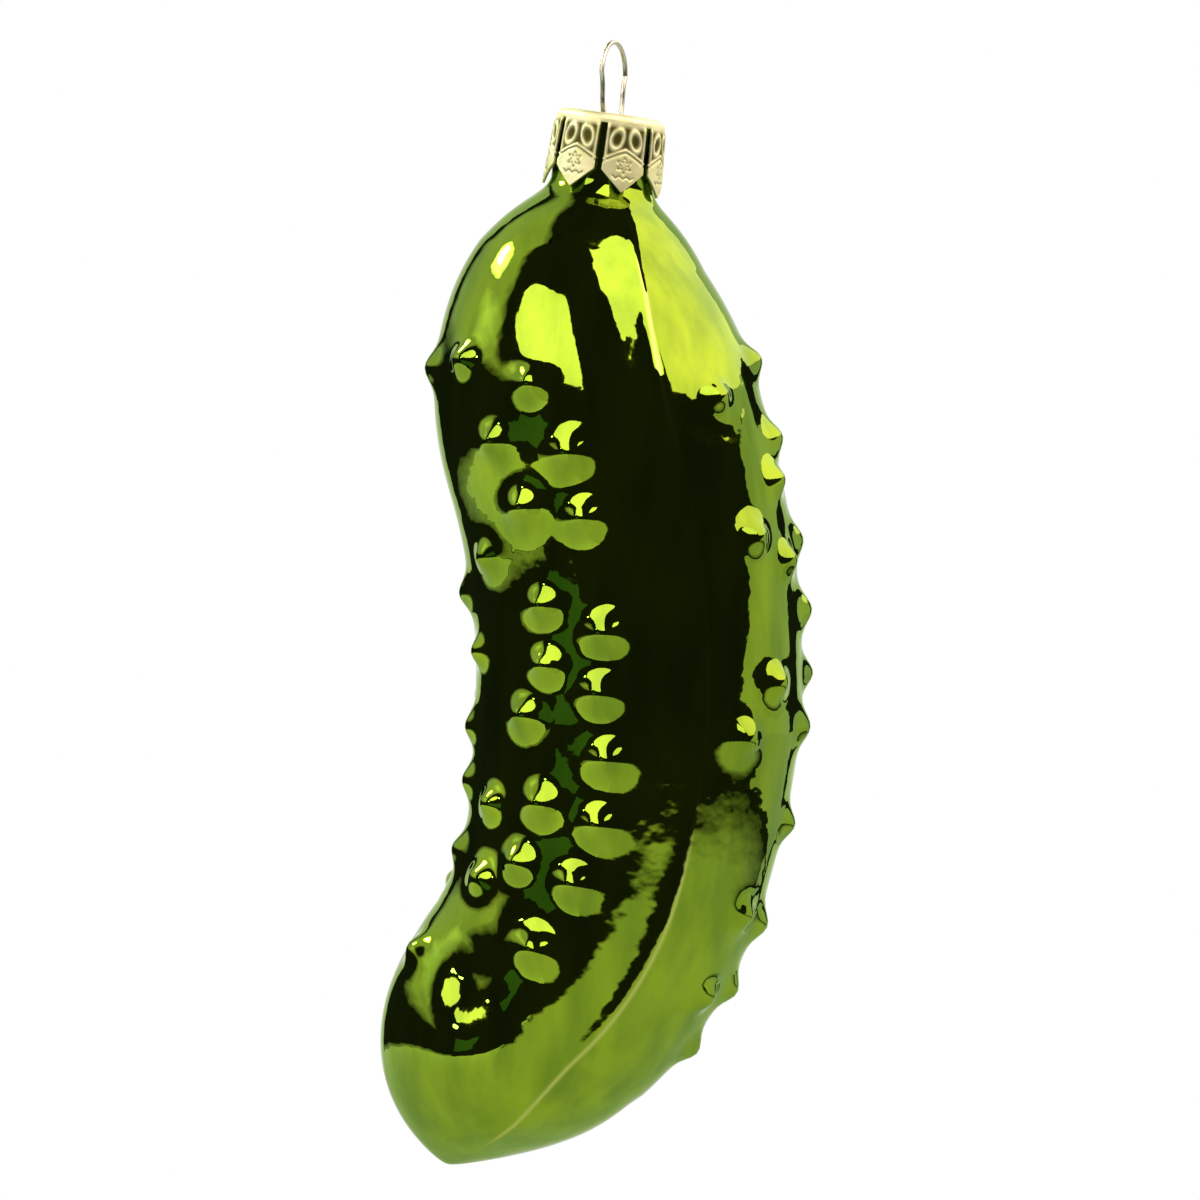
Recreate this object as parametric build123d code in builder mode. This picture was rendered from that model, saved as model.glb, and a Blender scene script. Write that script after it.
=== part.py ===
"""A blown glass pickle ornament: glass body, crown cap and hanging wire.

Millimetres, +Z up, as it hangs free. The origin is the hanging point, the inside of the wire
loop's top. The pickle bends in the XZ plane, with its tip towards -X, and its front faces -Y.
"""
import os
from math import acos, cos, degrees, radians, sin, sqrt

from build123d import *

# Hanging wire: a closed oval loop drawn in at the cap, with legs that splay inside the neck
wire_diameter = 0.5
loop_height = 7.65
loop_half_width = 3.3
leg_spacing = 4.6
leg_length = 11.0
leg_end_spacing = 6.0

# Crown cap: thin stamped sheet with pointed tabs that grip the neck
cap_sheet = 0.3
cap_depth = 8.0
cap_shoulder = 0.8
cap_flare = 0.45
cap_tabs = 7
tab_root_depth = 1.0
tab_point_height = 2.1
tab_slot_width = 0.75
first_slot_angle = 45.0
wire_hole_clearance = 0.25
hole_line_angle = 68.0

# Neck of the glass, and how the cap sits on it
neck_diameter = 10.4
neck_lean = 6.5
neck_length = 8.35
neck_overlap = 2.0
neck_rim = 0.35
cap_fit_clearance = 0.15
cap_seat_gap = 0.05
glass_wall = 0.8

# Spine of the pickle, from the neck's root to the tip: a straight run and four tangent arcs
neck_run = 6.0
crook_radius = 48.0
crook_turn = -24.4
waist_radius = 82.0
waist_turn = 30.0
bend_radius = 33.0
bend_turn = 29.5
tip_bend_radius = 41.0
tip_bend_turn = -28.4

# Thickness of the pickle, whose two mould halves meet in a seam down the front and the back
upper_half_width = 16.9
lower_half_width = 14.7
taper_start = 55.0
taper_length = 34.0
top_dome_length = 26.0
tip_dome_length = 34.2
tip_fullness = 4.5
tip_roundness = 1.15
tip_flat_angle = 7.0
inner_top_angle = 12.0
top_dome_steps = 4
tip_dome_steps = 8
section_pitch = 6.0
seam_angle = 22.0
flank_to_seam_ratio = 0.9
seam_run_in = 10.0
slope_step = 0.5

# Warts: the pairs are the distance down the spine and the angle round it from the front
wart_radius = 2.2
wart_height = 1.4
left_warts = [
    (25.5, -12), (32.5, -13), (45.0, -11), (51.5, -13), (58.5, -9), (65.5, -9), (72.5, -13), (81.5, -16),
    (18.5, -21), (30.0, -35), (41.5, -34), (48.5, -34), (54.5, -44), (64.5, -33), (72.5, -38),
    (16.0, -54), (23.0, -41), (35.0, -59), (47.0, -74), (66.0, -59), (77.5, -55),
    (16.5, -84), (39.5, -90), (57.0, -86), (64.0, -84), (75.0, -84), (90.0, -70),
]
right_warts = [
    (23.5, 43), (37.5, 46), (50.5, 52), (55.5, 37), (33.0, 67), (40.0, 66), (71.0, 57), (77.5, 55),
    (19.5, 82), (29.5, 77), (38.5, 86), (44.5, 84), (50.0, 90), (54.5, 80), (63.0, 80), (71.5, 80),
    (76.5, 80), (81.5, 80),
]
back_rows = [-136, -114, 112, 135, 158]
back_row_start = 20.0
back_row_end = 84.0
back_wart_pitch = 9.5

# Places that follow from the sizes
up = Vector(0, 0, 1)
neck_up = Vector(sin(radians(neck_lean)), 0, cos(radians(neck_lean)))
neck_right = Vector(cos(radians(neck_lean)), 0, -sin(radians(neck_lean)))
hole_line = neck_right * cos(radians(hole_line_angle)) + Vector(0, 1, 0) * sin(radians(hole_line_angle))
loop_up = (up - hole_line * up.dot(hole_line)).normalized()
pivot = loop_up * -(loop_height - wire_diameter / 2)
loop_plane = Plane(origin=pivot, x_dir=hole_line, z_dir=hole_line.cross(loop_up))
cap_plane = Plane(origin=pivot + neck_up * (cap_sheet / 2), x_dir=neck_right, z_dir=neck_up)
neck_root = cap_plane.origin - neck_up * (cap_sheet + cap_seat_gap + neck_length)
loop_hole_plane = Plane(origin=cap_plane.origin, x_dir=hole_line, z_dir=neck_up)
neck_radius = neck_diameter / 2
bore_radius = neck_radius - glass_wall
spine_runs = [
    (neck_run, 0.0),
    (crook_radius * abs(radians(crook_turn)), crook_turn),
    (waist_radius * abs(radians(waist_turn)), waist_turn),
    (bend_radius * abs(radians(bend_turn)), bend_turn),
    (tip_bend_radius * abs(radians(tip_bend_turn)), tip_bend_turn),
]
spine_length = sum(length for length, turn in spine_runs)
top_dome_centre = top_dome_length * sqrt(1 - (neck_radius / upper_half_width) ** 2)


def spine_plane(distance):
    """The section plane at a distance down the spine, with X across the flanks and Z up the spine."""
    point = Vector(neck_root)
    lean = radians(neck_lean)
    left = distance
    for length, turn in spine_runs:
        step = min(left, length)
        left -= step
        if turn == 0:
            point += Vector(-sin(lean), 0, -cos(lean)) * step
            continue
        radius = length / radians(turn)
        end_lean = lean + step / radius
        point += Vector(cos(end_lean) - cos(lean), 0, sin(lean) - sin(end_lean)) * radius
        lean = end_lean
    right = Vector(cos(lean), 0, -sin(lean))
    front = Vector(0, -1, 0)
    flank = right * cos(radians(seam_angle)) - front * sin(radians(seam_angle))
    return Plane(origin=point, x_dir=flank, z_dir=Vector(sin(lean), 0, cos(lean)))


def half_width(distance, inset=0.0):
    """Half the thickness across the flanks, with an elliptical dome on top and a bluntly pointed tip."""
    taper = min(max((distance - taper_start) / taper_length, 0), 1)
    width = upper_half_width + (lower_half_width - upper_half_width) * taper - inset
    from_top = max((top_dome_centre - distance) / (top_dome_length - inset), 0)
    from_tip = max((distance - spine_length + tip_dome_length) / (tip_dome_length - inset), 0)
    return width * sqrt(1 - from_top**2) * (1 - from_tip**tip_fullness) ** (1 / tip_roundness)


def seam_ratio(distance):
    """How far the flanks are flattened: round at the neck, full once the seam has run in."""
    run_in = min(max(distance / seam_run_in, 0), 1)
    return 1 + (flank_to_seam_ratio - 1) * run_in


def section_distances(inset):
    """Where the sections stand: evenly round each dome, and evenly along the spine between them."""
    top = top_dome_length - inset
    tip = tip_dome_length - inset
    tip_centre = spine_length - tip_dome_length
    first = degrees(acos(top_dome_centre / top)) if inset == 0 else inner_top_angle
    top_angles = [first + (90 - first) * step / top_dome_steps for step in range(top_dome_steps)]
    tip_arc = 90 - tip_flat_angle
    tip_angles = [90 - tip_arc * (step + 1) / tip_dome_steps for step in range(tip_dome_steps)]
    middle_length = tip_centre - top_dome_centre
    steps = round(middle_length / section_pitch)
    middle = [top_dome_centre + middle_length * step / steps for step in range(steps + 1)]
    return (
        [top_dome_centre - top * cos(radians(angle)) for angle in top_angles]
        + middle
        + [tip_centre + tip * cos(radians(angle)) for angle in tip_angles]
    )


def pickle_form(inset):
    """The smooth pickle without its warts, drawn in by inset on every side."""
    with BuildPart() as form:
        for distance in section_distances(inset):
            across = half_width(distance, inset)
            along_seam = across / seam_ratio(distance)
            with BuildSketch(spine_plane(distance)):
                with BuildLine():
                    ThreePointArc((0, along_seam), (across, 0), (0, -along_seam))
                    ThreePointArc((0, -along_seam), (-across, 0), (0, along_seam))
                make_face()
        loft()
    return form.part


def wart_plane(distance, angle):
    """The centre of the ball that makes a wart, which stands wart_height proud, with Z outward."""
    plane = spine_plane(distance)
    across = half_width(distance)
    along_seam = across / seam_ratio(distance)
    arc_radius = (across**2 + along_seam**2) / (2 * across)
    arc_offset = arc_radius - across
    turn = radians(angle - seam_angle)
    reach = sqrt(arc_radius**2 - (arc_offset * cos(turn)) ** 2) - arc_offset * abs(sin(turn))
    surface = Vector(reach * sin(turn), -reach * cos(turn), 0)
    arc_centre = Vector(-arc_offset if sin(turn) > 0 else arc_offset, 0, 0)
    slope = (half_width(distance + slope_step) - half_width(distance - slope_step)) / (2 * slope_step)
    outward = ((surface - arc_centre).normalized() + Vector(0, 0, slope)).normalized()
    centre = plane.from_local_coords(surface + outward * (wart_height - wart_radius))
    tip = plane.from_local_coords(surface + outward * wart_height)
    return Plane(origin=centre, z_dir=tip - centre)


back_count = int((back_row_end - back_row_start) / back_wart_pitch) + 1
back_warts = []
for row, angle in enumerate(back_rows):
    stagger = back_wart_pitch / 2 * (row % 2)
    back_warts += [(back_row_start + stagger + back_wart_pitch * step, angle) for step in range(back_count)]
wart_planes = [wart_plane(*wart) for wart in left_warts + right_warts + back_warts]

outer_form = pickle_form(0.0)
inner_form = pickle_form(glass_wall)

# Glass body: the blown shell with its neck, hollow into every wart
with BuildPart() as glass_body:
    add(outer_form)
    with BuildSketch(Plane(origin=neck_root - neck_up * neck_overlap, x_dir=neck_right, z_dir=neck_up)):
        Circle(neck_radius)
    extrude(amount=neck_length + neck_overlap)
    fillet(glass_body.edges().filter_by(GeomType.CIRCLE).sort_by(Axis(neck_root, neck_up))[-1], neck_rim)
    with Locations(*wart_planes):
        Sphere(wart_radius)
    add(inner_form, mode=Mode.SUBTRACT)
    with BuildSketch(Plane(origin=neck_root - neck_up * neck_overlap, x_dir=neck_right, z_dir=neck_up)):
        Circle(bore_radius)
    extrude(amount=neck_length + neck_overlap, mode=Mode.SUBTRACT)
    with Locations(*wart_planes):
        Sphere(wart_radius - glass_wall, mode=Mode.SUBTRACT)

# Crown cap: a stamped cup whose skirt is slit into pointed tabs, with two holes for the wire
cap_inner_radius = neck_radius + cap_fit_clearance
cap_outer_radius = cap_inner_radius + cap_sheet
inner_shoulder = cap_shoulder - cap_sheet
cap_top_radius = cap_outer_radius - cap_shoulder
cap_axial_plane = Plane(origin=cap_plane.origin, x_dir=cap_plane.x_dir, z_dir=-cap_plane.y_dir)
with BuildPart() as crown_cap:
    with BuildSketch(cap_axial_plane):
        with BuildLine():
            Line((0, 0), (cap_top_radius, 0))
            RadiusArc((cap_top_radius, 0), (cap_outer_radius, -cap_shoulder), cap_shoulder)
            Line((cap_outer_radius, -cap_shoulder), (cap_outer_radius + cap_flare, -cap_depth))
            Line((cap_outer_radius + cap_flare, -cap_depth), (cap_inner_radius + cap_flare, -cap_depth))
            Line((cap_inner_radius + cap_flare, -cap_depth), (cap_inner_radius, -cap_shoulder))
            RadiusArc((cap_inner_radius, -cap_shoulder), (cap_top_radius, -cap_sheet), -inner_shoulder)
            Line((cap_top_radius, -cap_sheet), (0, -cap_sheet))
            Line((0, -cap_sheet), (0, 0))
        make_face()
    revolve(axis=Axis(cap_plane.origin, cap_plane.z_dir))
    half_pitch = (cap_outer_radius + cap_flare) * radians(180 / cap_tabs)
    for slot in range(cap_tabs):
        angle = radians(first_slot_angle - 90 + slot * 360 / cap_tabs)
        outward = cap_plane.x_dir * cos(angle) + cap_plane.y_dir * sin(angle)
        with BuildSketch(Plane(origin=cap_plane.origin, x_dir=neck_up.cross(outward), z_dir=outward)):
            with BuildLine():
                Polyline(
                    (-tab_slot_width / 2, -tab_root_depth),
                    (tab_slot_width / 2, -tab_root_depth),
                    (tab_slot_width / 2, tab_point_height - cap_depth),
                    (half_pitch, -cap_depth),
                    (-half_pitch, -cap_depth),
                    (-tab_slot_width / 2, tab_point_height - cap_depth),
                    close=True,
                )
            make_face()
        extrude(amount=2 * cap_outer_radius, mode=Mode.SUBTRACT)
    with BuildSketch(loop_hole_plane):
        with Locations((-leg_spacing / 2, 0), (leg_spacing / 2, 0)):
            Circle(wire_diameter / 2 + wire_hole_clearance)
    extrude(amount=-cap_sheet, mode=Mode.SUBTRACT)

# Hanging wire: one piece of spring wire, swept from one leg's end to the other's
with BuildPart() as hanger_wire:
    with BuildLine(loop_plane) as wire_path:
        crown_centre = loop_height - loop_half_width
        waist = leg_spacing / 2
        side_radius = (crown_centre**2 + (loop_half_width - waist) ** 2) / (4 * (loop_half_width - waist))
        leg_drift = (leg_end_spacing - leg_spacing) / 2
        leg_radius = (leg_length**2 + leg_drift**2) / (2 * leg_drift)
        middle = ((loop_half_width + waist) / 2, crown_centre / 2)
        RadiusArc((-leg_end_spacing / 2, -leg_length), (-waist, 0), leg_radius)
        RadiusArc((-waist, 0), (-middle[0], middle[1]), side_radius)
        RadiusArc((-middle[0], middle[1]), (-loop_half_width, crown_centre), -side_radius)
        ThreePointArc((-loop_half_width, crown_centre), (0, loop_height), (loop_half_width, crown_centre))
        RadiusArc((loop_half_width, crown_centre), middle, -side_radius)
        RadiusArc(middle, (waist, 0), side_radius)
        RadiusArc((waist, 0), (leg_end_spacing / 2, -leg_length), leg_radius)
    with BuildSketch(Plane(origin=wire_path.line @ 0, z_dir=wire_path.line % 0)):
        Circle(wire_diameter / 2)
    sweep()

glass_body.part.label = "glass_body"
crown_cap.part.label = "crown_cap"
hanger_wire.part.label = "hanger_wire"

os.makedirs("parts", exist_ok=True)
for piece in (glass_body.part, crown_cap.part, hanger_wire.part):
    export_step(piece, f"parts/{piece.label}.step")
    print(piece.label, round(piece.volume, 2), piece.is_valid)
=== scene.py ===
from math import cos, degrees, pi, radians, sin

import bmesh
import bpy
import numpy as np
from mathutils import Matrix, Vector, noise


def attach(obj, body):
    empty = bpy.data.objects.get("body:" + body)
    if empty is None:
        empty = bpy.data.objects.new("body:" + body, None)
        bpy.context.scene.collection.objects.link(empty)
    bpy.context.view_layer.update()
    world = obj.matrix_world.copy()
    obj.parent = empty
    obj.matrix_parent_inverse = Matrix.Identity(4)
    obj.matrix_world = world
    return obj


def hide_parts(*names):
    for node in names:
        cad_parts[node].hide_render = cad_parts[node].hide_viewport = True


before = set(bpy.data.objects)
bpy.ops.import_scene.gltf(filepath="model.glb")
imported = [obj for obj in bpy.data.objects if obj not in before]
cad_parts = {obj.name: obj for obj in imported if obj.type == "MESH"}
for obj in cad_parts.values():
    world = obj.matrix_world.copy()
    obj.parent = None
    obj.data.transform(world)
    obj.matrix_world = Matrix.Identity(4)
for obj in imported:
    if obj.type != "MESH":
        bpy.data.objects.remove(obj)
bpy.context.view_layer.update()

# Sizes are in millimetres and angles in degrees, as in the part's source, until a mesh is made
MM = 0.001

# Hanging wire and cap
wire_diameter = 0.5
loop_height = 7.65
leg_spacing = 4.6
cap_sheet = 0.3
cap_depth = 8.0
cap_shoulder = 0.8
cap_flare = 0.45
cap_tabs = 7
tab_root_depth = 1.0
tab_point_height = 2.1
tab_slot_width = 0.75
first_slot_angle = 45.0
wire_hole_clearance = 0.25
hole_line_angle = 68.0

# Stamped pattern of a tab, in places up from its point: two rings over an arch and an engraved shield
emboss_height = 0.18
emboss_run_in = 0.5
stamped_line = 0.17
ring_lean = 14.0
ring_side = 1.0
ring_up = 5.35
ring_half_width = 0.62
ring_half_height = 1.05
arch_up = 4.35
arch_fall = 0.42
arch_power = 1.2
arch_line = 0.16
shield_level = 0.9
shield_gap = 0.32
shield_edge = 0.06
shield_least = 0.3
engraved_level = 0.6
engraved_line = 0.1
flower_up = 2.75
flower_radius = 0.55
flower_petals = 6
petal_depth = 0.22
ripple_up = 1.35
ripple_depth = 0.25
ripple_pitch = 0.8
ripple_reach = 1.2
edge_line_side = 2.05
edge_line_level = 0.9

# Neck
neck_diameter = 10.4
neck_lean = 6.5
neck_length = 8.35
neck_rim = 0.35
neck_root_round = 2.0
cap_fit_clearance = 0.15
cap_seat_gap = 0.05
glass_wall = 0.8

# Spine, thickness and seam of the pickle
spine_runs = [(6.0, 0.0), (48.0 * radians(24.4), -24.4), (82.0 * radians(30.0), 30.0),
              (33.0 * radians(29.5), 29.5), (41.0 * radians(28.4), -28.4)]
upper_half_width = 16.9
lower_half_width = 14.7
taper_start = 55.0
taper_length = 34.0
top_dome_length = 26.0
tip_dome_length = 34.2
tip_fullness = 4.5
tip_roundness = 1.15
tip_shave = 0.12
seam_angle = 22.0
flank_to_seam_ratio = 0.9
seam_run_in = 10.0
seam_round = 0.35
seam_left_width = 1.2
seam_right_width = 4.0
seam_fall_power = 1.5
seam_ridge = [(0.0, 0.0), (6.0, 0.35), (20.0, 0.35), (30.0, 0.06), (58.0, 0.06),
              (74.0, 0.6), (98.0, 0.6), (103.0, 0.0)]
# Width of the highlight painted along the seam crest, and the ridge height at which it is at full strength
crest_width = 0.17
crest_full_height = 0.35
skin_inset = 0.07
skin_depth = 0.06
skin_run_in = 5.0
skin_wave_length = 9.0
skin_wave_octaves = 2
lining_depth = 2.5
least_half_width = 0.01
least_length = 1e-9

# Broad swells of the bend, hollow where the height is negative: distance, angle, height and width
swells = [(89.2, -33.0, -1.0, 4.4), (96.5, -6.0, 0.6, 5.5)]

# Warts: the pairs are the distance down the spine and the angle round it from the front
wart_height = 1.3
wart_width_along = 1.75
wart_width_round = 2.0
wart_height_shares = (0.85, 1.0)
wart_width_shares = (0.9, 1.06)
wart_seed = 7
left_warts = [
    (25.5, -12), (32.5, -13), (45.0, -11), (51.5, -13), (58.5, -9), (65.5, -9), (72.5, -13), (81.5, -16),
    (18.5, -21), (30.0, -35), (41.5, -34), (48.5, -34), (54.5, -44), (64.5, -33), (72.5, -38),
    (16.0, -54), (23.0, -41), (35.0, -59), (47.0, -74), (66.0, -59), (77.5, -55),
    (16.5, -84), (39.5, -90), (57.0, -86), (64.0, -84), (75.0, -84), (90.0, -70),
]
right_warts = [
    (23.5, 43), (37.5, 46), (50.5, 52), (55.5, 37), (33.0, 67), (40.0, 66), (71.0, 57), (77.5, 55),
    (19.5, 82), (29.5, 77), (38.5, 86), (44.5, 84), (50.0, 90), (54.5, 80), (63.0, 80), (71.5, 80),
    (76.5, 80), (81.5, 80),
]
back_rows = [-136, -114, 112, 135, 158]
back_row_start = 20.0
back_row_end = 84.0
back_wart_pitch = 9.5

# Mesh counts, and the angles from a seam of the columns beside it
outer_rows = 286
inner_rows = 24
rim_rows = 5
half_columns = 132
seam_steps = [0.0, 0.4, 0.8, 1.3, 1.9, 2.7]
outline_samples = 4000
tab_columns = 53
tab_rows = 71
shoulder_rings = 9
hole_sides = 24
floor_sides = 96
sheet_steps = 25
tab_tip_share = 0.01
weld_distance = 0.004

# Finishes: colours, and depths of fine relief
lacquer_thick = (0.15, 0.26, 0.002)
lacquer_thin = (0.24, 0.375, 0.004)
# Paler colour painted along the seam crest: a painted highlight
crest_colour = (0.43, 0.5, 0.08)
silver_edge_tint = (0.5, 0.65, 0.25)
glass_relief = 0.034
gold_dull = (0.86, 0.88, 0.40)
gold_bright = (0.95, 0.96, 0.54)
# Dark olive painted into the hollows of the cap's stamped pattern: painted shade
tarnish = (0.09, 0.085, 0.01)
foil_relief = 0.03
wire_dull = (0.50, 0.51, 0.34)
wire_bright = (0.68, 0.69, 0.48)
wire_relief = 0.01
floor_dull = (0.84, 0.84, 0.84)
floor_bright = (0.86, 0.86, 0.86)
noise_low = 0.3
noise_high = 0.7

# The photograph's view
picture_pixels = 1200
mm_per_pixel = 0.1042
hook_pixel = (612.0, 43.5)
camera_elevation = 2.0
camera_distance = 800.0
camera_roll = 1.5
camera_shift = (-0.295, 0.242)
sensor_width = 36.0
nearest_seen = 10.0

# Studio: heights, radii, the level of the dark room, and the tints of lights
floor_height = -165.0
studio_centre_height = -58.0
room_radius = 1000.0
ceiling_radius = 1010.0
card_radius = 900.0
lamp_radius = 880.0
bulb_radius = 860.0
screen_radius = 450.0
table_radius = 370.0
dark = 0.025
sharp_edge = 0.01
softbox_tint = (1, 0.85, 0.9)
panel_tint = (1, 0.78, 0.8)
screen_tint = (0.5, 1, 0.7)
daylight_tint = (0.7, 0.95, 1)

neck_up = np.array([sin(radians(neck_lean)), 0, cos(radians(neck_lean))])
neck_right = np.array([cos(radians(neck_lean)), 0, -sin(radians(neck_lean))])
back_way = np.array([0, 1.0, 0])
hole_line = neck_right * cos(radians(hole_line_angle)) + back_way * sin(radians(hole_line_angle))
loop_up = np.array([0, 0, 1.0]) - hole_line * hole_line[2]
loop_up /= np.linalg.norm(loop_up)
cap_origin = -loop_up * (loop_height - wire_diameter / 2) + neck_up * (cap_sheet / 2)
neck_root = cap_origin - neck_up * (cap_sheet + cap_seat_gap + neck_length)
neck_radius = neck_diameter / 2
spine_length = sum(length for length, turn in spine_runs)
top_dome_centre = top_dome_length * (1 - (neck_radius / upper_half_width) ** 2) ** 0.5
random = np.random.default_rng(wart_seed)


def spine(distance):
    """Centre points and leans at distances down the spine, or up the neck where these are negative."""
    point = neck_root + np.outer(-np.minimum(distance, 0), neck_up)
    start = 0.0
    start_lean = radians(neck_lean)
    lean = np.full(len(distance), start_lean)
    for length, turn in spine_runs:
        step = np.clip(distance - start, 0, length)
        start += length
        if turn == 0:
            point -= np.outer(step, neck_up)
            continue
        radius = length / radians(turn)
        end = start_lean + step / radius
        point[:, 0] += (np.cos(end) - cos(start_lean)) * radius
        point[:, 2] += (sin(start_lean) - np.sin(end)) * radius
        lean += step / radius
        start_lean += radians(turn)
    return point, lean


def half_width(distance, inset=0.0):
    """Half the thickness across the flanks, with an elliptical dome on top and a bluntly pointed tip."""
    taper = np.clip((distance - taper_start) / taper_length, 0, 1)
    width = upper_half_width + (lower_half_width - upper_half_width) * taper - inset
    from_top = np.clip((top_dome_centre - distance) / (top_dome_length - inset), 0, 1)
    from_tip = np.clip((distance - spine_length + tip_dome_length) / (tip_dome_length - inset), 0, 1)
    tip_blunting = np.sqrt(1 - (tip_shave / np.maximum(spine_length - inset - distance, tip_shave)) ** 2)
    body = np.sqrt(1 - from_top**2) * (1 - from_tip**tip_fullness) ** (1 / tip_roundness)
    return width * body * tip_blunting


def neck_and_body(distance, inset=0.0):
    """Half width with the neck's tube running smoothly into the body."""
    body = half_width(distance, inset)
    tube = neck_radius - inset
    near_neck = np.clip(1 - distance / top_dome_centre, 0, 1)
    joined = (body + tube + np.hypot(body - tube, neck_root_round * near_neck)) / 2
    return np.where(near_neck > 0, joined, body)


def surface(distance, width, angles):
    """Points of the smooth form, one row for each distance and one column for each angle."""
    centre, lean = spine(distance)
    right = np.stack([np.cos(lean), np.zeros_like(lean), -np.sin(lean)], axis=1)
    ratio = 1 + (flank_to_seam_ratio - 1) * np.clip(distance / seam_run_in, 0, 1)
    width = np.maximum(width, least_half_width)[:, None]
    arc_radius = (width + width / ratio[:, None] ** 2) / 2
    arc_offset = arc_radius - width
    turn = np.radians(angles - seam_angle)[None, :]
    rounded = seam_round / (width + seam_round)
    from_seam = np.hypot(np.sin(turn), rounded) - rounded
    reach = np.sqrt(arc_radius**2 - (arc_offset * np.cos(turn)) ** 2) - arc_offset * from_seam
    bearing = np.radians(angles)[None, :, None]
    direction = -back_way * np.cos(bearing) + right[:, None, :] * np.sin(bearing)
    return centre[:, None, :] + direction * reach[:, :, None]


def even_rows(count, inset):
    """Distances down the spine that are evenly spaced along the outline, from the neck's rim to the tip."""
    turn = np.linspace(0, pi, outline_samples)
    run = spine_length - tip_shave - inset + neck_length - neck_rim
    distance = -neck_length + neck_rim + run * (1 - np.cos(turn)) / 2
    width = neck_and_body(distance, inset)
    along = np.concatenate([[0], np.cumsum(np.hypot(np.diff(distance), np.diff(width)))])
    return np.interp(np.linspace(0, along[-1], count), along, distance)


def column_angles():
    """Angles round the spine, closer together at the two seams."""
    first = np.array(seam_steps)
    middle = np.linspace(seam_steps[-1], 180 - seam_steps[-1], half_columns)[1:-1]
    half = np.concatenate([first, middle, 180 - first[:0:-1]])
    return seam_angle + np.concatenate([half, 180 + half])


def all_warts():
    """Every wart's distance and angle, with staggered rows on the back."""
    warts = left_warts + right_warts
    count = int((back_row_end - back_row_start) / back_wart_pitch) + 1
    for row, angle in enumerate(back_rows):
        first = back_row_start + back_wart_pitch / 2 * (row % 2)
        warts = warts + [(first + back_wart_pitch * step, angle) for step in range(count)]
    return warts


def wart_relief(points):
    """How far the warts lift each point: round swellings, a little wider round the pickle than along it."""
    relief = np.zeros(points.shape[:2])
    for distance, angle in all_warts():
        place = np.array([float(distance)])
        centre = surface(place, half_width(place), np.array([float(angle)]))[0, 0]
        lean = spine(place)[1][0]
        gap = points - centre
        along = gap @ np.array([-sin(lean), 0, -cos(lean)])
        beside = np.linalg.norm(gap, axis=2) ** 2 - along**2
        height = random.uniform(*wart_height_shares)
        width = random.uniform(*wart_width_shares)
        spread_out = (along / wart_width_along) ** 2 + beside / wart_width_round**2
        relief += wart_height * height * np.exp(-spread_out / width**2)
    return np.minimum(relief, wart_height)


def seam_relief(distance, width, angles):
    """The step that the mould leaves along both seams: steep on its left and easing off on its right."""
    across = width[:, None] * np.sin(np.radians(angles - seam_angle))[None, :]
    fall = np.where(across < 0, -across / seam_left_width, across / seam_right_width)
    height = np.interp(distance, *zip(*seam_ridge))
    return height[:, None] * np.exp(-(fall**seam_fall_power))


def seam_crest(distance, width, angles):
    """Strength of the highlight painted along the seams' sharp crest, between 0 and 1."""
    across = width[:, None] * np.sin(np.radians(angles - seam_angle))[None, :]
    sharp = np.clip(np.interp(distance, *zip(*seam_ridge)) / crest_full_height, 0, 1)
    return sharp[:, None] * np.exp(-((across / crest_width) ** 2))


def swell_relief(points):
    """How far the broad swells lift each point."""
    relief = np.zeros(points.shape[:2])
    for distance, angle, height, width in swells:
        place = np.array([distance])
        centre = surface(place, half_width(place), np.array([angle]))[0, 0]
        relief += height * np.exp(-((np.linalg.norm(points - centre, axis=2) / width) ** 2))
    return relief


def waves(points):
    """Slow unevenness of blown glass, between 0 and 1."""
    flat = points.reshape(-1, 3)
    values = [noise.fractal(Vector(p) / skin_wave_length, 1.0, 2.0, skin_wave_octaves) for p in flat]
    return 0.5 + 0.5 * np.clip(np.array(values).reshape(points.shape[:2]), -1, 1)


def row_normals(points):
    """Outward directions of a grid of points whose columns run right round."""
    down = np.gradient(points, axis=0)
    wrapped = np.concatenate([points[:, -1:], points, points[:, :1]], axis=1)
    round_way = (wrapped[:, 2:] - wrapped[:, :-2]) / 2
    normal = np.cross(down, round_way)
    return normal / np.maximum(np.linalg.norm(normal, axis=2, keepdims=True), least_length)


def new_piece(name, vertices, faces, material):
    """A smooth-shaded mesh from points in millimetres."""
    mesh = bpy.data.meshes.new(name)
    mesh.from_pydata((np.asarray(vertices) * MM).tolist(), [], faces)
    mesh.shade_smooth()
    mesh.materials.append(material)
    piece = bpy.data.objects.new(name, mesh)
    bpy.context.scene.collection.objects.link(piece)
    return piece


def ring_faces(rows, columns):
    """Quads between rows of points whose columns run right round."""
    here = np.arange(columns)
    after = np.roll(here, -1)
    faces = []
    for row in range(rows - 1):
        top, low = row * columns, (row + 1) * columns
        faces += np.stack([top + here, low + here, low + after, top + after], axis=1).tolist()
    return faces


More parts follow.
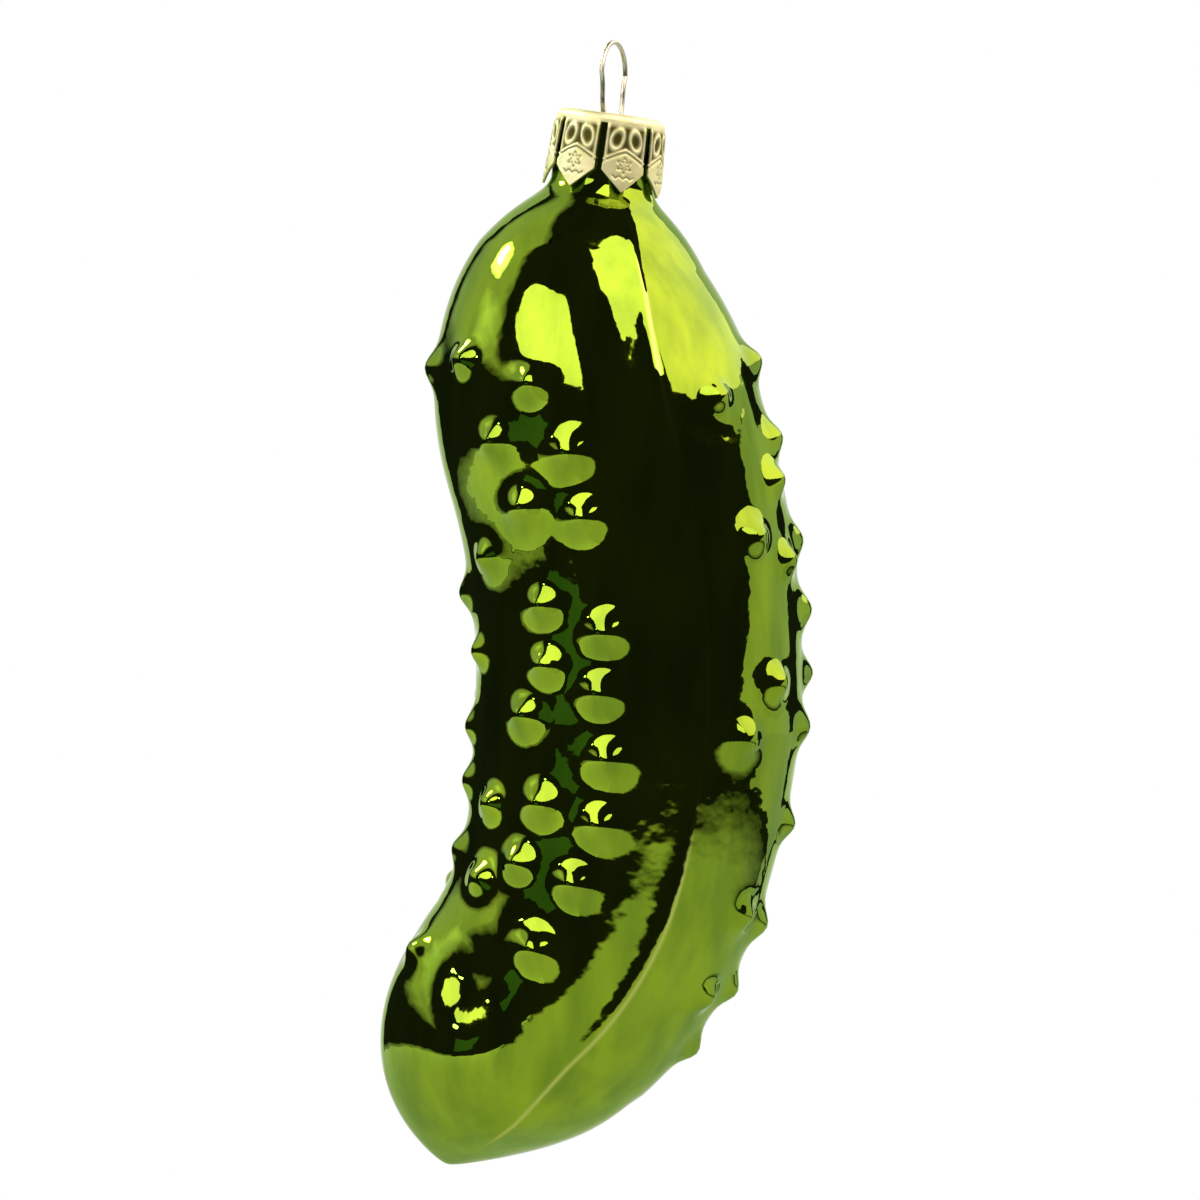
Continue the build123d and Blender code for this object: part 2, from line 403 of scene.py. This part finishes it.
def make_glass(material):
    """The blown shell: outside with warts and seam, rounded rim, and the inside that the neck shows."""
    angles = column_angles()
    outer = even_rows(outer_rows, 0.0)
    width = neck_and_body(outer)
    skin = surface(outer, width, angles)
    relief = wart_relief(skin) + seam_relief(outer, width, angles) + swell_relief(skin)
    relief -= (skin_inset + skin_depth * waves(skin)) * np.clip(outer / skin_run_in, 0, 1)[:, None]
    skin = skin + row_normals(skin) * relief[:, :, None]
    inner = even_rows(inner_rows, glass_wall)[::-1]
    below_neck = np.clip(inner / top_dome_centre, 0, 1)
    inset = glass_wall + (lining_depth - glass_wall) * below_neck
    lining = surface(inner, neck_and_body(inner, inset), angles)
    bend = np.linspace(0, pi, rim_rows + 2)[1:-1]
    rim_middle = neck_radius - glass_wall / 2
    rim_distance = -neck_length + neck_rim - neck_rim * np.sin(bend)
    rim = surface(rim_distance, rim_middle - glass_wall / 2 * np.cos(bend), angles)
    rows = np.concatenate([lining, rim, skin])
    faces = ring_faces(len(rows), len(angles))
    total = len(rows) * len(angles)
    faces.append(list(range(len(angles))))
    faces.append(list(range(total - 1, total - len(angles) - 1, -1)))
    glass = new_piece("blown_glass", rows.reshape(-1, 3), faces, material)
    # How strongly each point takes the highlight painted along the seam crest
    crest = np.zeros(rows.shape[:2])
    crest[-len(skin):] = seam_crest(outer, width, angles)
    glass.data.attributes.new("crest", "FLOAT", "POINT").data.foreach_set("value", crest.ravel())
    return glass


def line(gap, width):
    """Height of a rounded line, from the distance to its middle."""
    return np.exp(-((gap / width) ** 2))


def tab_emboss(across, up):
    """Stamped relief of one tab, by millimetres across from its middle and up from its point."""
    relief = np.zeros_like(across)
    for side in (-1, 1):
        lean = radians(ring_lean) * side
        x = across - side * ring_side
        y = up - ring_up
        along = y * cos(lean) - x * sin(lean)
        beside = x * cos(lean) + y * sin(lean)
        ring = np.hypot(beside / ring_half_width, along / ring_half_height)
        relief = np.maximum(relief, line((ring - 1) * ring_half_width, stamped_line))
    arch = up - (arch_up - arch_fall * np.abs(across) ** arch_power)
    relief = np.maximum(relief, line(arch, arch_line))
    shield = shield_level / (1 + np.exp((arch + shield_gap) / shield_edge))
    bearing = np.arctan2(across, up - flower_up)
    petal = np.hypot(across, up - flower_up) - flower_radius - petal_depth * np.cos(flower_petals * bearing)
    shield = shield - engraved_level * line(petal, engraved_line) * (shield > shield_least)
    ripple = up - ripple_up - ripple_depth * np.abs(np.sin(across * pi / ripple_pitch))
    shield = shield - engraved_level * line(ripple, engraved_line) * (np.abs(across) < ripple_reach)
    relief = np.maximum(relief, shield)
    return np.maximum(relief, edge_line_level * line(np.abs(across) - edge_line_side, stamped_line))


def cap_point(radius, bearing, height):
    """Points of the cap by radius, bearing in degrees from its right to its back, and height on its axis."""
    bearing = np.radians(bearing)[..., None]
    outward = neck_right * np.cos(bearing) + back_way * np.sin(bearing)
    return cap_origin + outward * radius[..., None] + neck_up * height[..., None]


def skirt_radius(depth):
    """Outer radius of the flared skirt at a depth below the cap's top."""
    outer = neck_radius + cap_fit_clearance + cap_sheet
    return outer + cap_flare * (depth - cap_shoulder) / (cap_depth - cap_shoulder)


def grid_faces(rows, columns, first):
    """Quads of an open grid of points."""
    index = first + np.arange(rows * columns).reshape(rows, columns)
    corners = [index[:-1, :-1], index[1:, :-1], index[1:, 1:], index[:-1, 1:]]
    return np.stack([c.ravel() for c in corners], axis=1).tolist()


def make_cap(material):
    """The stamped cap: a rolled shoulder, seven embossed tabs with points, and a top with two wire holes."""
    pitch = 360 / cap_tabs
    across_share = np.linspace(-1, 1, tab_columns)
    down_share = np.linspace(0, 1, tab_rows)
    vertices = []
    faces = []
    raised = []
    for tab in range(cap_tabs):
        middle = first_slot_angle - 90 + pitch * (tab + 0.5)
        depth = tab_root_depth + (cap_depth - tab_root_depth) * down_share
        full = radians(pitch / 2) * skirt_radius(depth) - tab_slot_width / 2
        point_share = np.clip((cap_depth - depth) / tab_point_height, tab_tip_share, 1)
        across = (full * point_share)[:, None] * across_share[None, :]
        up = np.broadcast_to((cap_depth - depth)[:, None], across.shape)
        fade = np.clip((depth - tab_root_depth) / emboss_run_in, 0, 1)[:, None]
        relief = fade * tab_emboss(across, up)
        radius = skirt_radius(depth)[:, None] + emboss_height * relief
        bearing = middle + np.degrees(across / skirt_radius(depth)[:, None])
        # How raised each point of the pattern is, which sets the shade painted into its hollows
        raised.append((relief + 1 - fade).ravel())
        faces += grid_faces(*across.shape, sum(len(v) for v in vertices))
        vertices.append(cap_point(radius, bearing, -depth[:, None] + 0 * across).reshape(-1, 3))
    tab_half = pitch / 2 - degrees(tab_slot_width / 2 / skirt_radius(tab_root_depth))
    bearings = np.concatenate([
        first_slot_angle - 90 + pitch * (tab + 0.5) + np.concatenate([across_share * tab_half, [pitch / 2]])
        for tab in range(cap_tabs)
    ])
    turn = np.radians(np.linspace(0, 90, shoulder_rings))
    ring_depth = np.concatenate([cap_shoulder * (1 - np.cos(turn)), [tab_root_depth]])
    top_radius = neck_radius + cap_fit_clearance + cap_sheet - cap_shoulder
    ring_radius = np.concatenate([top_radius + cap_shoulder * np.sin(turn), [skirt_radius(tab_root_depth)]])
    shape = np.ones((len(ring_depth), len(bearings)))
    first = sum(len(v) for v in vertices)
    ring = cap_point(ring_radius[:, None] * shape, bearings[None, :] * shape, -ring_depth[:, None] * shape)
    faces += (np.array(ring_faces(*shape.shape)) + first).tolist()
    vertices.append(ring.reshape(-1, 3))
    raised.append(np.ones(shape.size))
    cap = new_piece("stamped_cap", np.concatenate(vertices), faces, material)
    cap.data.attributes.new("raised", "FLOAT", "POINT").data.foreach_set("value", np.concatenate(raised))
    close_cap_top(cap, first, len(bearings))
    sheet = cap.modifiers.new("sheet", "SOLIDIFY")
    sheet.thickness = cap_sheet * MM
    sheet.offset = -1
    return cap


def close_cap_top(cap, first, count):
    """Fills the cap's top between its rolled edge and the two holes, and joins the tabs to it."""
    shaped = bmesh.new()
    shaped.from_mesh(cap.data)
    shaped.verts.ensure_lookup_table()
    loops = [[shaped.verts[first + i] for i in range(count)]]
    for side in (-1, 1):
        middle = cap_origin + hole_line * (side * leg_spacing / 2)
        hole = wire_diameter / 2 + wire_hole_clearance
        ends = [middle + hole * (hole_line * cos(t) + np.cross(neck_up, hole_line) * sin(t))
                for t in np.linspace(0, 2 * pi, hole_sides, endpoint=False)]
        loops.append([shaped.verts.new((p * MM).tolist()) for p in ends])
    edges = []
    for loop in loops:
        for here, after in zip(loop, loop[1:] + loop[:1]):
            edges.append(shaped.edges.get((here, after)) or shaped.edges.new((here, after)))
    bmesh.ops.triangle_fill(shaped, use_beauty=True, edges=edges, normal=neck_up.tolist())
    bmesh.ops.remove_doubles(shaped, verts=shaped.verts, dist=weld_distance * MM)
    bmesh.ops.recalc_face_normals(shaped, faces=shaped.faces)
    for face in shaped.faces:
        face.smooth = True
    shaped.to_mesh(cap.data)
    shaped.free()


def new_material(name):
    """A material with its nodes, links and shader."""
    material = bpy.data.materials.new(name)
    material.use_nodes = True
    tree = material.node_tree
    return material, tree, tree.nodes["Principled BSDF"]


def noise_texture(tree, scale, detail, upright=1.0):
    """Noise in the object's own coordinates, scaled per metre, drawn out upright where upright is under 1."""
    place = tree.nodes.new("ShaderNodeTexCoord")
    stretch = tree.nodes.new("ShaderNodeMapping")
    stretch.inputs["Scale"].default_value = (1, 1, upright)
    texture = tree.nodes.new("ShaderNodeTexNoise")
    texture.inputs["Scale"].default_value = scale
    texture.inputs["Detail"].default_value = detail
    tree.links.new(place.outputs["Object"], stretch.inputs["Vector"])
    tree.links.new(stretch.outputs["Vector"], texture.inputs["Vector"])
    return texture.outputs["Fac"]


def ramp(tree, value, low, high, low_colour, high_colour):
    """Colours between two levels of a value."""
    stops = tree.nodes.new("ShaderNodeValToRGB")
    stops.color_ramp.elements[0].position = low
    stops.color_ramp.elements[0].color = (*low_colour, 1)
    stops.color_ramp.elements[1].position = high
    stops.color_ramp.elements[1].color = (*high_colour, 1)
    tree.links.new(value, stops.inputs["Fac"])
    return stops.outputs["Color"]


def spread(tree, value, low, high):
    """Maps the usual range of a noise value onto a range."""
    mapped = tree.nodes.new("ShaderNodeMapRange")
    mapped.inputs["From Min"].default_value = noise_low
    mapped.inputs["From Max"].default_value = noise_high
    mapped.inputs["To Min"].default_value = low
    mapped.inputs["To Max"].default_value = high
    tree.links.new(value, mapped.inputs["Value"])
    return mapped.outputs["Result"]


def bump(tree, shader, value, depth):
    """Fine relief, with its depth in millimetres."""
    relief = tree.nodes.new("ShaderNodeBump")
    relief.inputs["Strength"].default_value = 1.0
    relief.inputs["Distance"].default_value = depth * MM
    tree.links.new(value, relief.inputs["Height"])
    tree.links.new(relief.outputs["Normal"], shader.inputs["Normal"])
    tree.links.new(relief.outputs["Normal"], shader.inputs["Coat Normal"])


def silvered_glass():
    """Glass silvered inside under a transparent green lacquer that pools a little unevenly, with a highlight
    painted as a paler colour along the seam crest.
    """
    material, tree, shader = new_material("green_silvered_glass")
    streaks = noise_texture(tree, scale=260, detail=4, upright=0.3)
    lacquer = ramp(tree, streaks, 0.35, 0.65, lacquer_thick, lacquer_thin)
    # Painted highlight: a paler colour mixed in along the seam crest
    crest = tree.nodes.new("ShaderNodeAttribute")
    crest.attribute_name = "crest"
    tone = tree.nodes.new("ShaderNodeMixRGB")
    tone.inputs["Color2"].default_value = (*crest_colour, 1)
    tree.links.new(crest.outputs["Fac"], tone.inputs["Fac"])
    tree.links.new(lacquer, tone.inputs["Color1"])
    tree.links.new(tone.outputs["Color"], shader.inputs["Base Color"])
    shine = spread(tree, noise_texture(tree, scale=300, detail=3), low=0.02, high=0.05)
    tree.links.new(shine, shader.inputs["Roughness"])
    shader.inputs["Metallic"].default_value = 1.0
    shader.inputs["Specular Tint"].default_value = (*silver_edge_tint, 1)
    shader.inputs["Coat Weight"].default_value = 0.3
    shader.inputs["Coat Roughness"].default_value = 0.02
    bump(tree, shader, noise_texture(tree, scale=480, detail=1.5), glass_relief)
    return material


def gold_foil():
    """Pale gold stamped sheet, with dark olive shade painted into the hollows of its pattern."""
    material, tree, shader = new_material("gold_cap_metal")
    # Painted shade: the lower the stamped relief, the more of the dark olive
    raised = tree.nodes.new("ShaderNodeAttribute")
    raised.attribute_name = "raised"
    clouds = noise_texture(tree, scale=500, detail=4)
    bright = ramp(tree, clouds, 0.35, 0.7, gold_dull, gold_bright)
    tone = tree.nodes.new("ShaderNodeMixRGB")
    tone.inputs["Color1"].default_value = (*tarnish, 1)
    tree.links.new(raised.outputs["Fac"], tone.inputs["Fac"])
    tree.links.new(bright, tone.inputs["Color2"])
    tree.links.new(tone.outputs["Color"], shader.inputs["Base Color"])
    shine = spread(tree, noise_texture(tree, scale=900, detail=2), low=0.5, high=0.6)
    tree.links.new(shine, shader.inputs["Roughness"])
    shader.inputs["Metallic"].default_value = 1.0
    bump(tree, shader, noise_texture(tree, scale=1600, detail=3), foil_relief)
    return material


def spring_wire():
    """Drawn wire with a thin gold wash."""
    material, tree, shader = new_material("hanger_spring_wire")
    clouds = noise_texture(tree, scale=700, detail=3)
    tone = ramp(tree, clouds, 0.35, 0.65, wire_dull, wire_bright)
    tree.links.new(tone, shader.inputs["Base Color"])
    shine = spread(tree, noise_texture(tree, scale=1200, detail=2), low=0.25, high=0.4)
    tree.links.new(shine, shader.inputs["Roughness"])
    shader.inputs["Metallic"].default_value = 1.0
    bump(tree, shader, noise_texture(tree, scale=2500, detail=2), wire_relief)
    return material


def glow(name, strength, tint):
    """A light surface of that strength and tint, times the level that its mesh holds."""
    material = bpy.data.materials.new(name)
    material.use_nodes = True
    tree = material.node_tree
    tree.nodes.remove(tree.nodes["Principled BSDF"])
    light = tree.nodes.new("ShaderNodeEmission")
    light.inputs["Color"].default_value = (*tint, 1)
    level = tree.nodes.new("ShaderNodeAttribute")
    level.attribute_name = "level"
    scale = tree.nodes.new("ShaderNodeMath")
    scale.operation = "MULTIPLY"
    scale.inputs[1].default_value = strength
    tree.links.new(level.outputs["Fac"], scale.inputs[0])
    tree.links.new(scale.outputs["Value"], light.inputs["Strength"])
    tree.links.new(light.outputs["Emission"], tree.nodes["Material Output"].inputs["Surface"])
    return material


def toward(azimuth, elevation):
    """Direction by degrees right of the camera and up from the horizon."""
    azimuth, elevation = np.radians(azimuth), np.radians(elevation)
    level = np.cos(elevation)
    return np.stack([np.sin(azimuth) * level, -np.cos(azimuth) * level, np.sin(elevation)], axis=-1)


def studio_sheet(name, points, strength, tint=(1, 1, 1), level=None):
    """A stage sheet through a grid of points that only polished things show."""
    rows, columns = points.shape[:2]
    sheet = new_piece(name, points.reshape(-1, 3), grid_faces(rows, columns, 0), glow(name, strength, tint))
    level = np.ones((rows, columns)) if level is None else level
    sheet.data.attributes.new("level", "FLOAT", "POINT").data.foreach_set("value", level.ravel())
    sheet.visible_camera = False
    sheet.visible_transmission = False
    sheet.visible_shadow = False
    sheet.visible_diffuse = False


def card(name, corners, strength, radius=card_radius, rounding=0.0, tint=(1, 1, 1), soft=0.0, dim=0.0):
    """A curved sheet whose corners go round from its top left, by azimuth and elevation.

    Over the share soft of its half width it goes from full strength to the share dim at its edge.
    """
    top_left, top_right, low_right, low_left = (np.array(c, float) for c in corners)
    down = np.linspace(-1, 1, sheet_steps)[:, None]
    over = np.linspace(-1, 1, sheet_steps)[None, :]
    x = (1 + over * np.sqrt(1 - rounding * down**2 / 2))[:, :, None] / 2
    y = (1 + down * np.sqrt(1 - rounding * over**2 / 2))[:, :, None] / 2
    top = top_left + (top_right - top_left) * x
    low = low_left + (low_right - low_left) * x
    bearing = top + (low - top) * y
    centre = np.array([0, 0, studio_centre_height])
    edge = np.minimum(1 - np.abs(over), 1 - np.abs(down)) / max(soft, sharp_edge)
    level = dim + (1 - dim) * np.clip(edge + (soft == 0), 0, 1)
    studio_sheet(name, centre + radius * toward(bearing[..., 0], bearing[..., 1]), strength, tint, level)


def floor_sheet(name, corners, strength, near_level=1.0, far_level=1.0, lift=1.0):
    """A level sheet above the floor; its corners go round from its far left, by azimuth and radius."""
    far_left, far_right, near_right, near_left = (np.array(c, float) for c in corners)
    x = np.linspace(0, 1, sheet_steps)[None, :, None]
    y = np.linspace(0, 1, sheet_steps)[:, None, None]
    far = far_left + (far_right - far_left) * x
    near = near_left + (near_right - near_left) * x
    place = far + (near - far) * y
    level = np.broadcast_to((far_level + (near_level - far_level) * y)[..., 0], (sheet_steps, sheet_steps))
    points = toward(place[..., 0], 0 * place[..., 0]) * place[..., 1:]
    studio_sheet(name, points + [0, 0, floor_height + lift], strength, level=level)


def make_studio():
    """Pale floor, white surroundings, soft light panels and the dark room that the glass mirrors."""
    world = bpy.data.worlds.new("white_surroundings")
    world.use_nodes = True
    world.node_tree.nodes["Background"].inputs["Color"].default_value = (1, 1, 1, 1)
    world.cycles.sampling_method = "NONE"
    bpy.context.scene.world = world
    material, tree, shader = new_material("pale_floor")
    clouds = noise_texture(tree, scale=3, detail=2)
    tone = ramp(tree, clouds, noise_low, noise_high, floor_dull, floor_bright)
    tree.links.new(tone, shader.inputs["Base Color"])
    shader.inputs["Roughness"].default_value = 0.9
    shader.inputs["Specular IOR Level"].default_value = 0.0
    edge = table_radius * toward(np.linspace(-180, 180, floor_sides, endpoint=False), np.zeros(floor_sides))
    floor = new_piece("floor", edge + [0, 0, floor_height], [list(range(floor_sides))], material)
    card("dark_ceiling", [(-180, 90), (180, 90), (180, 46), (-180, 46)], dark, ceiling_radius)
    card("dark_walls", [(-152, 48), (152, 48), (148, -14), (-152, -14)], dark, room_radius)
    far = room_radius
    floor_sheet("dark_front", [(-66, far), (76, far), (76, 330), (-66, 420)], dark)
    floor_sheet("dark_gap", [(76, 440), (134, 390), (134, 330), (76, 330)], dark)
    floor_sheet("dark_left", [(-150, far), (-66, far), (-66, 560), (-150, 560)], dark)
    floor_sheet("left_far", [(-150, 560), (-66, 560), (-66, 450), (-150, 450)], 0.7, 1.0, 0.2)
    floor_sheet("left_table", [(-150, 450), (-24, 420), (-24, 60), (-150, 60)], 1.2, 0.7, lift=2)
    floor_sheet("right_table", [(-24, 405), (134, 350), (134, 210), (-24, 375)], 0.85, 1.0, 0.1, 2)
    floor_sheet("right_floor", [(76, far), (143, far), (143, 380), (76, 440)], 0.8)
    card("left_softbox", [(-70, 48), (-33, 50), (-13, 9), (-71, 19)], 3.5, rounding=0.6, tint=softbox_tint)
    card("front_softbox", [(0, 79), (80, 79), (60, 25), (10, 25)], 3.5, rounding=0.15, tint=softbox_tint)
    card("right_panel", [(58, 58), (150, 56), (150, 14), (66, 18)], 2.9, tint=panel_tint)
    card("right_wall", [(108, 15), (135, 16), (135, -7), (76, -7)], 0.9)
    card("left_panel", [(-150, 72), (-86, 68), (-76, 7), (-146, 6)], 0.9, soft=0.15)
    card("left_wall", [(-64, 3), (-46, 3), (-46, -8), (-64, -8)], 0.2, screen_radius, tint=screen_tint)
    low_corners = [(-112, 29), (-84, 29), (-80, 15), (-108, 15)]
    card("low_panel", low_corners, 1.8, lamp_radius, 0.5, soft=0.9, dim=0.5)
    card("left_lamp", [(-124, 48), (-101, 47), (-97, 33), (-120, 30)], 10.0, lamp_radius, 0.8, soft=0.4)
    card("left_bulb", [(-118, 44), (-107, 44), (-105, 35), (-116, 34)], 90.0, bulb_radius, 0.8, soft=0.4)
    pane = [(-68, 18), (-65, 18), (-65, 15.5), (-68, 15.5)]
    card("window", pane, 20.0, lamp_radius, 0.5, tint=daylight_tint)


def turned(x, z):
    """A point or direction of the upright picture, turned to the frame, in which the ornament hangs plumb."""
    roll = radians(camera_roll)
    return x * cos(roll) - z * sin(roll), x * sin(roll) + z * cos(roll)


def make_camera():
    """The photograph's view: level, a little from above, through a long lens."""
    rise = radians(camera_elevation)
    middle = picture_pixels / 2
    x, z = turned((middle - hook_pixel[0]) * mm_per_pixel, (hook_pixel[1] - middle) * mm_per_pixel)
    target = Vector((x + camera_shift[0], 0, z + camera_shift[1]))
    axes = [(1, 0, 0), (0, sin(rise), cos(rise)), (0, -cos(rise), sin(rise))]
    axes = [Vector((turned(a[0], a[2])[0], a[1], turned(a[0], a[2])[1])) for a in axes]
    camera = bpy.data.objects.new("camera", bpy.data.cameras.new("camera"))
    place = (target + axes[2] * camera_distance) * MM
    camera.matrix_world = Matrix.Translation(place) @ Matrix(axes).transposed().to_4x4()
    camera.data.sensor_width = sensor_width
    camera.data.lens = sensor_width * camera_distance / (picture_pixels * mm_per_pixel)
    camera.data.clip_start = nearest_seen * MM
    bpy.context.scene.collection.objects.link(camera)
    bpy.context.scene.camera = camera


glass = make_glass(silvered_glass())
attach(glass, "glass")
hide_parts("glass_body")

cap = make_cap(gold_foil())
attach(cap, "cap")
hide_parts("crown_cap")

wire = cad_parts["hanger_wire"]
wire.material_slots[0].material = spring_wire()

make_studio()
make_camera()
bpy.context.scene.view_settings.view_transform = "Standard"
